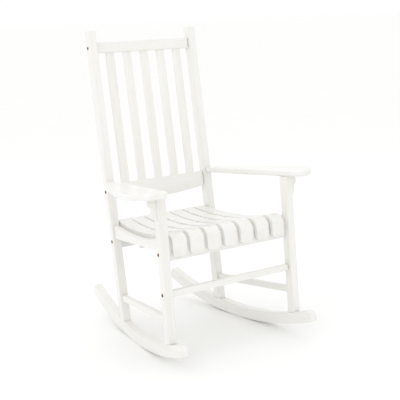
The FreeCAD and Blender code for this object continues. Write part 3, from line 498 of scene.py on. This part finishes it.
# back: crest rail, curved lumbar rail and five slats
back = {
    "railThickness": 19, "railSetback": 9, "crestDrop": 43, "crestHeight": 40,
    "lumbarTop": 516, "lumbarHeight": 72, "lumbarEnd": 55,
    "slats": 5, "slatWidth": 34, "slatThickness": 10, "slatPitch": 73, "slatTenon": 10, "slatEdge": 2.0,
    "arcSteps": 40,
}
backRailHalf = faceOfPost(back["railSetback"] + back["railThickness"]) - play["end"]
crestTop = postLength - back["crestDrop"]
crestLow = crestTop - back["crestHeight"]
railBack = back["railSetback"] + back["railThickness"]


def makeBack():
    crest = rectangle(-backRailHalf, backRailHalf, crestLow, crestTop)
    board("crestRail", crest, back["railSetback"], railBack, "deep", backFrame, "X", ["crest_rail"],
          soften=chair["railEdge"])
    rise = back["lumbarHeight"] - back["lumbarEnd"]
    lowMiddle = back["lumbarTop"] - back["lumbarHeight"]
    radius = (backRailHalf ** 2 + rise ** 2) / (2 * rise)
    sweep = math.degrees(math.asin(backRailHalf / radius))
    outline = arcPoints((0, lowMiddle + radius), radius, -90 - sweep, -90 + sweep, back["arcSteps"])
    outline += [Vector((backRailHalf, back["lumbarTop"])), Vector((-backRailHalf, back["lumbarTop"]))]
    board("lumbarRail", outline, back["railSetback"], railBack, "deep", backFrame, "X", ["lumbar_rail"],
          soften=chair["railEdge"])
    front = back["railSetback"] + back["railThickness"] / 2 - back["slatThickness"] / 2
    low, high = back["lumbarTop"] - back["slatTenon"], crestLow + back["slatTenon"]
    half = back["slatWidth"] / 2
    for i in range(1, back["slats"] + 1):
        x = (i - (back["slats"] + 1) / 2) * back["slatPitch"]
        board(f"backSlat_{i}", rectangle(x - half, x + half, low, high), front, front + back["slatThickness"],
              "deep", backFrame, "Z", [f"back_slat_{i}"], soften=back["slatEdge"])


makeBack()
print("rockers, legs, posts and back made")


# seat slats, rolled over the front rail and rounded at the tip
halfSlat = seat["slatWidth"] / 2
frontSpread = faceOfFrame(seat["front"] + seat["slatThickness"], stock) - seat["legGap"] - halfSlat
backSpread = faceOfPost(seatBack - postFrontAt(seat["low"])) - seat["postGap"] - halfSlat
screwDepths = (frontRailY + seat["rail"] / 2, bearerY + seat["rail"] / 2, rearRailY + seat["rail"] / 2)


def slatPath():
    # points along the slat's top skin, from the tip to the back, each with the way out from the wood
    path = []
    lipSteps, rollSteps, scoopSteps = 10, 14, 40
    for k in range(lipSteps):
        path.append((Vector((seat["front"], lipLow + seat["lip"] * k / lipSteps)), Vector((-1, 0))))
    for k in range(rollSteps + 1):
        angle = math.radians(180 + (joinAngle - 180) * k / rollSteps)
        up = Vector((math.cos(angle), math.sin(angle)))
        path.append((Vector(rollCentre) + up * seat["roll"], up))
    first = math.atan2(joinY - scoopCentre[0], math.sqrt(seat["scoop"] ** 2 - (joinY - scoopCentre[0]) ** 2))
    last = math.asin((seatBack - scoopCentre[0]) / seat["scoop"])
    for k in range(1, scoopSteps + 1):
        angle = first + (last - first) * k / scoopSteps
        up = Vector((-math.sin(angle), math.cos(angle)))
        path.append((Vector(scoopCentre) - up * seat["scoop"], up))
    return path


def makeSeatSlat(i):
    share = (2 * i - seat["slats"] - 1) / (seat["slats"] - 1)
    fan = math.atan2(share * (frontSpread - backSpread), seatBack - seat["front"])
    place = Matrix.Translation((share * frontSpread, 0, 0)) @ Matrix.Rotation(fan, 4, "Z")
    form = bmesh.new()
    rings = []
    tip = seat["tipRound"]
    path = slatPath()
    tipRows = [tip * (1 - math.cos(math.radians(15 * k))) for k in range(6)] + [tip]
    # each row is a place on the top skin, the way out from it there, and how far it is into the round tip
    rows = [(Vector((seat["front"], lipLow + h)), Vector((-1, 0)), tip - h) for h in tipRows]
    rows += [(p, up, None) for p, up in path if p.y > lipLow + tip + 0.5 or p.x > seat["front"] + 0.01]
    for p, up, narrow in rows:
        half = halfSlat
        if narrow is not None and narrow > 0:
            half = halfSlat - tip + math.sqrt(max(tip ** 2 - narrow ** 2, 0))
        skin, under = p, p - up * seat["slatThickness"]
        rings.append([form.verts.new((-half, skin.x, skin.y)), form.verts.new((half, skin.x, skin.y)),
                      form.verts.new((half, under.x, under.y)), form.verts.new((-half, under.x, under.y))])
    for first, second in zip(rings, rings[1:]):
        joinRings(form, first, second)
    form.faces.new(rings[0])
    form.faces.new(rings[-1])
    name = f"seatSlat_{i}"
    finishPiece(name, meshOf(name, form), place, "left", paintAlong["Y"], [f"seat_slat_{i}"], seat["edge"])
    return place


slatPlaces = [makeSeatSlat(i) for i in range(1, seat["slats"] + 1)]


sideRail = {"inset": 6, "lowBack": 371, "lowFront": 381, "scoopLow": 404, "scoop": 1150, "edge": 1.8,
            "arcSteps": 36}


def crossRail(name, y, low, high, halfFront, halfBack, node, topRound=0):
    form = bmesh.new()
    deep = seat["rail"]
    outline = rectangle(y, y + deep, low, high)
    if topRound:
        outline = roundCorners(outline, {3: topRound})
    ends = []
    for sign in (-1, 1):
        ring = []
        for p in outline:
            half = halfFront + (halfBack - halfFront) * (p.x - y) / deep
            ring.append(form.verts.new((sign * half, p.x, p.y)))
        ends.append(ring)
        form.faces.new(ring)
    joinRings(form, *ends)
    finishPiece(name, meshOf(name, form), Matrix(), "left", paintAlong["X"], [node],
                chair["paintSoftening"])


def makeSeatRails():
    deep = seat["rail"]
    crossRail("seatFrontRail", frontRailY, seat["frontRailBottom"], frontRailTop,
              faceOfFrame(frontRailY, stock) - play["end"],
              faceOfFrame(frontRailY + deep, stock) - play["end"],
              "seat_front_rail", seat["roll"] - seat["slatThickness"] - 0.5)    # inside the roll's underside
    rearHalf = faceOfPost(rearRailY + deep - postFrontAt(seat["rearRailBottom"])) - play["end"]
    crossRail("seatRearRail", rearRailY, seat["rearRailBottom"], seatUnderside(rearRailY) - play["seat"],
              rearHalf, rearHalf, "seat_rear_rail")
    inset = sideRail["inset"] + deep
    crossRail("seatBearer", bearerY, bearerTop - seat["bearer"], bearerTop,
              faceOfFrame(bearerY, inset) - play["end"], faceOfFrame(bearerY + deep, inset) - play["end"],
              "seat_bearer")


makeSeatRails()


def sideRailTop(along):
    centre = sideRail["scoopLow"] + sideRail["scoop"]
    return centre - math.sqrt(sideRail["scoop"] ** 2 - (along - seat["lowAt"]) ** 2)


def makeSideRail(side):
    front = stock + play["end"]
    backLow = postFaceAlong(sideRail["lowBack"]) - play["slope"]
    backHigh = postFaceAlong(sideRailTop(backLow)) - play["slope"]
    steps = sideRail["arcSteps"]
    alongs = [backHigh + (front - backHigh) * k / steps for k in range(steps + 1)]
    top = [Vector((along, sideRailTop(along))) for along in alongs]
    outline = [Vector((front, sideRail["lowFront"])), Vector((backLow, sideRail["lowBack"]))] + top
    board("seatSideRail_" + side, outline, sideRail["inset"], sideRail["inset"] + seat["rail"], "across",
          sideFrame, "Y", ["seat_side_rail_" + side], side, sideRail["edge"])


bothSides(makeSideRail)
print("seat made")

# stretchers
stretcher = {"height": 23, "thickness": 19, "frontLevel": 233, "frontSetback": 8, "sideLevel": 147,
             "sideInset": 6}


def makeStretchers():
    thick, rise = stretcher["thickness"], stretcher["height"] / 2
    front = stretcher["frontSetback"]
    half = faceOfFrame(front + thick, stock) - play["end"]
    level = stretcher["frontLevel"]
    board("frontStretcher", rectangle(-half, half, level - rise, level + rise), front, front + thick, "deep",
          Matrix(), "X", ["front_stretcher"], soften=chair["railEdge"])
    # the side stretchers start just inside the legs and stop just short of the leaning posts
    low, high = stretcher["sideLevel"] - rise, stretcher["sideLevel"] + rise
    start = stock - play["seat"]
    outline = [Vector((start, low)), Vector((postFaceAlong(low) - play["seat"], low)),
               Vector((postFaceAlong(high) - play["seat"], high)), Vector((start, high))]
    for side in ("left", "right"):
        board("sideStretcher_" + side, outline, stretcher["sideInset"], stretcher["sideInset"] + thick,
              "across", sideFrame, "Y", ["side_stretcher_" + side], side, chair["railEdge"])


makeStretchers()


# arms: narrow at the post, wide and round at the hand
def smoothCurve(points, perSpan=10):
    # a curve through the points, with centripetal spacing so that it stays even
    ends = [points[0] * 2 - points[1]] + points + [points[-1] * 2 - points[-2]]
    made = []
    for a, b, c, d in zip(ends, ends[1:], ends[2:], ends[3:]):
        t0 = 0.0
        t1 = t0 + (b - a).length ** 0.5
        t2 = t1 + (c - b).length ** 0.5
        t3 = t2 + (d - c).length ** 0.5
        for k in range(perSpan):
            t = t1 + (t2 - t1) * k / perSpan
            ab = a * ((t1 - t) / (t1 - t0)) + b * ((t - t0) / (t1 - t0))
            bc = b * ((t2 - t) / (t2 - t1)) + c * ((t - t1) / (t2 - t1))
            cd = c * ((t3 - t) / (t3 - t2)) + d * ((t - t2) / (t3 - t2))
            abc = ab * ((t2 - t) / (t2 - t0)) + bc * ((t - t0) / (t2 - t0))
            bcd = bc * ((t3 - t) / (t3 - t1)) + cd * ((t - t1) / (t3 - t1))
            made.append(abc * ((t2 - t) / (t2 - t1)) + bcd * ((t - t1) / (t2 - t1)))
    return made + [points[-1]]


def makeArm(side):
    bottom = chair["armHeight"] - arm["thickness"]
    backEnd = postFaceAlong(bottom) - play["slope"]
    palm, nose, inner = arm["palm"], arm["nose"], arm["inner"]
    taper = 2                # the inner edge draws in this much each way from the leg line
    # round the hand from the inner edge to the palm, then back along the outer edge to the post
    hand = smoothCurve([Vector(p) for p in (
        (inner + taper, -nose * 0.25), (inner * 0.55, -nose * 0.82), (-palm * 0.08, -nose),
        (-palm * 0.42, -nose * 0.80), (-palm * 0.74, -nose * 0.34), (-palm * 0.95, nose * 0.22),
        (-palm, nose * 0.85), (-palm * 0.93, backEnd * 0.27), (-palm * 0.75, backEnd * 0.46),
        (-palm * 0.52, backEnd * 0.70), (-arm["root"], backEnd))])
    outline = hand + [Vector((inner - taper, backEnd))]
    place = sideFrame @ Matrix.Translation((0, 0, bottom))
    board("armBoard_" + side, outline, 0, arm["thickness"], "flat", place, "Y", ["arm_" + side], side,
          arm["edgeRound"], segments=6, smoothAngle=50)


bothSides(makeArm)

# arm brackets: a square step, then two scrolls down to the leg
bracket = {"reach": 27, "height": 86, "thickness": 18, "edge": 1.2}


def threePointArc(a, b, c, steps=8):
    a, b, c = Vector(a), Vector(b), Vector(c)
    aa, bb, cc = a.length_squared, b.length_squared, c.length_squared
    d = 2 * (a.x * (b.y - c.y) + b.x * (c.y - a.y) + c.x * (a.y - b.y))
    centre = Vector(((aa * (b.y - c.y) + bb * (c.y - a.y) + cc * (a.y - b.y)) / d,
                     (aa * (c.x - b.x) + bb * (a.x - c.x) + cc * (b.x - a.x)) / d))
    total = (a - centre).angle_signed(c - centre)
    return [centre + Matrix.Rotation(-total * k / steps, 2) @ (a - centre) for k in range(steps)]


def makeBracket(side):
    out, tall = bracket["reach"], bracket["height"]
    top = chair["armHeight"] - arm["thickness"] - play["seat"]
    steps = [(-out, top - tall * 0.30), (-out * 0.70, top - tall * 0.38), (-out * 0.60, top - tall * 0.62),
             (-out * 0.30, top - tall * 0.78), (0, top - tall)]
    # the middle of the arc between each two steps
    bulges = [(-out * 0.88, top - tall * 0.37), (-out * 0.58, top - tall * 0.50),
              (-out * 0.52, top - tall * 0.74), (-out * 0.14, top - tall * 0.86)]
    outline = [Vector((0, top)), Vector((-out, top))]
    for first, bulge, last in zip(steps, bulges, steps[1:]):
        outline += threePointArc(first, bulge, last)
    outline.append(Vector(steps[-1]))
    low = (stock - bracket["thickness"]) / 2
    board("armBracket_" + side, outline, low, low + bracket["thickness"], "deep", sideFrame, "Z",
          ["arm_bracket_" + side], side, bracket["edge"], smoothAngle=40)


bothSides(makeBracket)
print("stretchers, arms and brackets made")

# bolts, plugs and hidden fastenings: the bolts and plugs are rebuilt with their small detail
bolt = {
    "head": 12, "headThickness": 3, "socket": 4, "shank": 6, "length": 62,
    "recess": 2,             # how deep the head sits in its counterbore
    "margin": 0.5,           # counterbore round the head
    "cutter": 12,            # length of the shape that cuts the counterbore
    "threadRings": 24, "threadStep": 0.8, "threadDepth": 0.35, "point": 2,
}
hidden = {"barrel_nuts": zinc, "rocker_screws": zinc, "seat_screws": zinc, "dowels": beech}
for node, metal in hidden.items():
    frame["nodes"][node].data.materials.clear()
    frame["nodes"][node].data.materials.append(metal)


def latheRings(form, profile, turns=40):
    # profile is (distance along the axis, radius) from the tip of the shank to the rim of the socket
    rings = []
    for along, radius in profile:
        rings.append([form.verts.new((along, radius * math.cos(2 * math.pi * k / turns),
                                      radius * math.sin(2 * math.pi * k / turns))) for k in range(turns)])
    for first, second in zip(rings, rings[1:]):
        joinRings(form, first, second)
    return rings


def boltMesh():
    form = bmesh.new()
    turns = 48
    r, t = bolt["head"] / 2, bolt["headThickness"]
    shank = bolt["shank"] / 2
    thread = []
    for k in range(bolt["threadRings"]):         # rolled thread on the last third
        along = bolt["length"] - bolt["point"] - k * bolt["threadStep"]
        thread.append((along, shank - (bolt["threadDepth"] if k % 2 else 0.0)))
    # the head: a small chamfer under it, straight sides, and a rounded rim to a nearly flat face
    head = [(0, r - 0.4), (-0.4, r), (-t + 0.9, r), (-t + 0.35, r - 0.5), (-t + 0.05, r - 1.4), (-t, r - 2.6)]
    rings = latheRings(form, [(bolt["length"], shank - 1.0)] + thread + [(0, shank)] + head, turns)
    form.faces.new(rings[0])
    # the hexagon socket: the last ring closes onto six flats, which go down into the head
    across = bolt["socket"] / 2 / math.cos(math.pi / 6)

    def hexRadius(angle):
        step = math.pi / 3
        return across * math.cos(step / 2) / math.cos((angle % step) - step / 2)

    levels = []
    for depth, grow in ((-t, 1.18), (-t + 0.35, 1.0), (-t + 2.2, 1.0)):
        ring = []
        for k in range(turns):
            angle = 2 * math.pi * k / turns
            radius = hexRadius(angle) * grow
            ring.append(form.verts.new((depth, radius * math.cos(angle), radius * math.sin(angle))))
        levels.append(ring)
    for first, second in zip([rings[-1]] + levels, levels):
        joinRings(form, first, second)
    form.faces.new(levels[-1])
    bmesh.ops.recalc_face_normals(form, faces=form.faces)
    return form


def joinForms(name, forms):
    whole = bmesh.new()
    for form, matrix in forms:
        part = bpy.data.meshes.new("part")
        form.to_mesh(part)
        part.transform(matrix)
        whole.from_mesh(part)
        bpy.data.meshes.remove(part)
    return meshOf(name, whole)


def cutAway(pieceName, cutterName, forms):
    # cuts the forms, given in the square chair's millimetres, out of a finished piece
    mesh = joinForms(cutterName, forms)
    mesh.transform(stance)
    cutter = bpy.data.objects.new(cutterName, mesh)
    bpy.context.scene.collection.objects.link(cutter)
    piece = bpy.data.objects[pieceName]
    cut = piece.modifiers.new(cutterName, "BOOLEAN")
    cut.operation = "DIFFERENCE"
    cut.solver = "EXACT"
    cut.object = cutter
    bpy.context.view_layer.update()
    sheet = bpy.context.evaluated_depsgraph_get()
    baked = bpy.data.meshes.new_from_object(piece.evaluated_get(sheet))
    piece.modifiers.clear()
    piece.data = baked
    bpy.data.objects.remove(cutter)


def boltPlaces():
    crestMiddle = crestLow + back["crestHeight"] / 2
    lumbarMiddle = back["lumbarTop"] - back["lumbarEnd"] / 2
    middle = back["railSetback"] + back["railThickness"] / 2
    postCorner = stock / 2 * math.sin(splay)     # the outer face's front corner, behind the post's middle
    places = []
    for along in (crestMiddle, lumbarMiddle):
        face = postHalfWidth - (middle - postCorner) * math.tan(splay)
        at = backFrame @ Vector((0, middle, along))
        places.append(Vector((face, at.y, at.z)))
    rearMiddle = rearRailY + seat["rail"] / 2
    rearLevel = seat["rearRailBottom"] + seat["boltRise"]
    depth = rearMiddle - postFrontAt(rearLevel)
    places.append(Vector((postHalfWidth - (depth - postCorner) * math.tan(splay), rearMiddle, rearLevel)))
    frontMiddle = frontRailY + seat["rail"] / 2
    places.append(Vector((halfWidth - frontMiddle * math.tan(splay), frontMiddle,
                          seat["frontRailBottom"] + seat["boltRise"])))
    across = stretcher["frontSetback"] + stretcher["thickness"] / 2
    places.append(Vector((halfWidth - across * math.tan(splay), across, stretcher["frontLevel"])))
    return places


def makeBolts():
    form = boltMesh()
    forms = []
    for i, place in enumerate(boltPlaces()):
        spin = Matrix.Rotation(0.6 * i + 0.2, 4, "X")        # sockets stop at different angles
        under = place.x - bolt["recess"]
        left = Matrix.Translation((-under, place.y, place.z))
        right = Matrix.Translation((under, place.y, place.z)) @ Matrix.Rotation(math.pi, 4, "Z")
        forms += [(form, left @ spin), (form, right @ spin)]
    mesh = joinForms("frameBolts", forms)
    piece = finishPiece("frameBolts", mesh, Matrix(), "left", brass, ["frame_bolts"], 0)
    piece.modifiers.new("crispEdges", "EDGE_SPLIT").split_angle = math.radians(38)
    form.free()


def cutBoltSeats():
    # shallow counterbores in legs and posts for the bolt heads, so that the heads sit just proud
    form = bmesh.new()
    radius = bolt["head"] / 2 + bolt["margin"]
    bmesh.ops.create_cone(form, cap_ends=True, segments=48, radius1=radius, radius2=radius,
                          depth=bolt["cutter"])
    forms = []
    for place in boltPlaces():
        for sign in (-1, 1):
            across = sign * (place.x - bolt["recess"] + bolt["cutter"] / 2)
            at = Matrix.Translation((across, place.y, place.z))
            forms.append((form, at @ Matrix.Rotation(math.pi / 2, 4, "Y")))
    for name in ("frontLeg_left", "frontLeg_right", "backPost_left", "backPost_right"):
        cutAway(name, "boltSeats", forms)
    form.free()


makeBolts()
cutBoltSeats()

plug = {
    "across": 7.6, "depth": 1.6, "dish": 0.25,
    "below": 0.12,           # how far the plug's rim lies below the slat
    "margin": 0.18, "hole": 3.2,     # the drilled hole: clearance round the plug, and the cutter's length
}


def onSlat(place, depth, below=0.0):
    # a place on a slat's top at a depth, turned to the slope there
    slope = math.atan2(seatTop(depth + 1) - seatTop(depth - 1), 2)
    return place @ Matrix.Translation((0, depth, seatTop(depth) - below)) @ Matrix.Rotation(slope, 4, "X")


def makePlugs():
    # filler over each seat screw, dished a little where it shrank as it dried
    r = plug["across"] / 2
    form = bmesh.new()
    rings = latheRings(form, [(-plug["depth"], r), (-0.15, r), (0, r - 0.25), (-plug["dish"] * 0.6, r * 0.6),
                              (-plug["dish"], r * 0.15)], 28)
    form.faces.new(rings[0])
    form.faces.new(rings[-1])
    upright = Matrix.Rotation(-math.pi / 2, 4, "Y")
    forms = [(form, onSlat(place, depth, plug["below"]) @ upright)
             for place in slatPlaces for depth in screwDepths]
    mesh = joinForms("seatScrewPlugs", forms)
    form.free()
    piece = finishPiece("seatScrewPlugs", mesh, Matrix(), "left", filler, ["seat_screw_plugs"], 0)


def drillPlugHoles():
    form = bmesh.new()
    radius = plug["across"] / 2 + plug["margin"]
    bmesh.ops.create_cone(form, cap_ends=True, segments=32, radius1=radius, radius2=radius,
                          depth=plug["hole"])
    for i, place in enumerate(slatPlaces, 1):
        cutAway(f"seatSlat_{i}", "plugHoles", [(form, onSlat(place, depth)) for depth in screwDepths])
    form.free()


makePlugs()
drillPlugHoles()
print("fastenings made")

# floor, light and camera
studio = {
    "floor": "#fbfbfa", "sky": 1.03,
    "key": 8.5, "fill": 0.8, "top": 9,       # lamp powers in watts
    "reach": 90,                             # metres of floor each way, so that no edge shows
}


def makeStudio():
    material, tree, surface = newMaterial("paleStudioFloor")
    place = addNode(tree, "ShaderNodeTexCoord")
    cloud = addNode(tree, "ShaderNodeTexNoise", {"Scale": 3.0, "Detail": 2.0}, {"Vector": (place, "Object")})
    tone = rampOf(tree, cloud, "Fac", [(0.3, "#fafaf9"), (0.7, studio["floor"])])
    tree.links.new(tone.outputs["Color"], surface.inputs["Base Color"])
    surface.inputs["Roughness"].default_value = 0.85
    mesh = bpy.data.meshes.new("studioFloor")
    reach = studio["reach"]
    mesh.from_pydata([(-reach, -reach, 0), (reach, -reach, 0), (reach, reach, 0), (-reach, reach, 0)], [],
                     [(0, 1, 2, 3)])
    mesh.materials.append(material)
    floor = bpy.data.objects.new("studioFloor", mesh)
    bpy.context.scene.collection.objects.link(floor)
    world = bpy.data.worlds.new("softStudio")
    world.use_nodes = True
    sky = world.node_tree.nodes["Background"]
    sky.inputs["Color"].default_value = (1, 1, 1, 1)
    sky.inputs["Strength"].default_value = studio["sky"]
    bpy.context.scene.world = world
    addLight("keyPanel", (-2.8, -1.2, 2.2), (0, 0, 0.5), 1.8, studio["key"])
    addLight("frontFill", (1.4, -3.2, 1.6), (0, 0, 0.5), 2.6, studio["fill"])
    addLight("topPanel", (0, 0.4, 3.4), (0, 0, 0), 3.0, studio["top"])


def addLight(name, place, aim, across, power):
    light = bpy.data.lights.new(name, "AREA")
    light.size = across
    light.energy = power
    lamp = bpy.data.objects.new(name, light)
    bpy.context.scene.collection.objects.link(lamp)
    lamp.location = place
    lamp.rotation_euler = (Vector(aim) - Vector(place)).to_track_quat("-Z", "Y").to_euler()


makeStudio()

# the camera's place and turn are measured from the chair as set out square
viewpoint = {"place": (-1799, -2564, 969.5), "azimuth": 33.27, "pitch": 8.08, "roll": -4.38, "lens": 82.6}


def makeCamera():
    azimuth, pitch, roll = (math.radians(viewpoint[key]) for key in ("azimuth", "pitch", "roll"))
    ahead = Vector((math.sin(azimuth) * math.cos(pitch), math.cos(azimuth) * math.cos(pitch),
                    -math.sin(pitch)))
    right = Vector((math.cos(azimuth), -math.sin(azimuth), 0))
    up = right.cross(ahead)
    across = right * math.cos(roll) + up * math.sin(roll)
    over = up * math.cos(roll) - right * math.sin(roll)
    turn = Matrix((across, over, -ahead)).transposed().to_4x4()
    whole = stance @ Matrix.Translation(viewpoint["place"]) @ turn
    lens = bpy.data.cameras.new("chairCamera")
    lens.lens = viewpoint["lens"]
    lens.sensor_width = 36
    camera = bpy.data.objects.new("chairCamera", lens)
    bpy.context.scene.collection.objects.link(camera)
    camera.matrix_world = Matrix.LocRotScale(whole.to_translation(), whole.to_quaternion(), None)
    bpy.context.scene.camera = camera


makeCamera()
bpy.context.scene.view_settings.view_transform = "Standard"
print("studio and camera made")
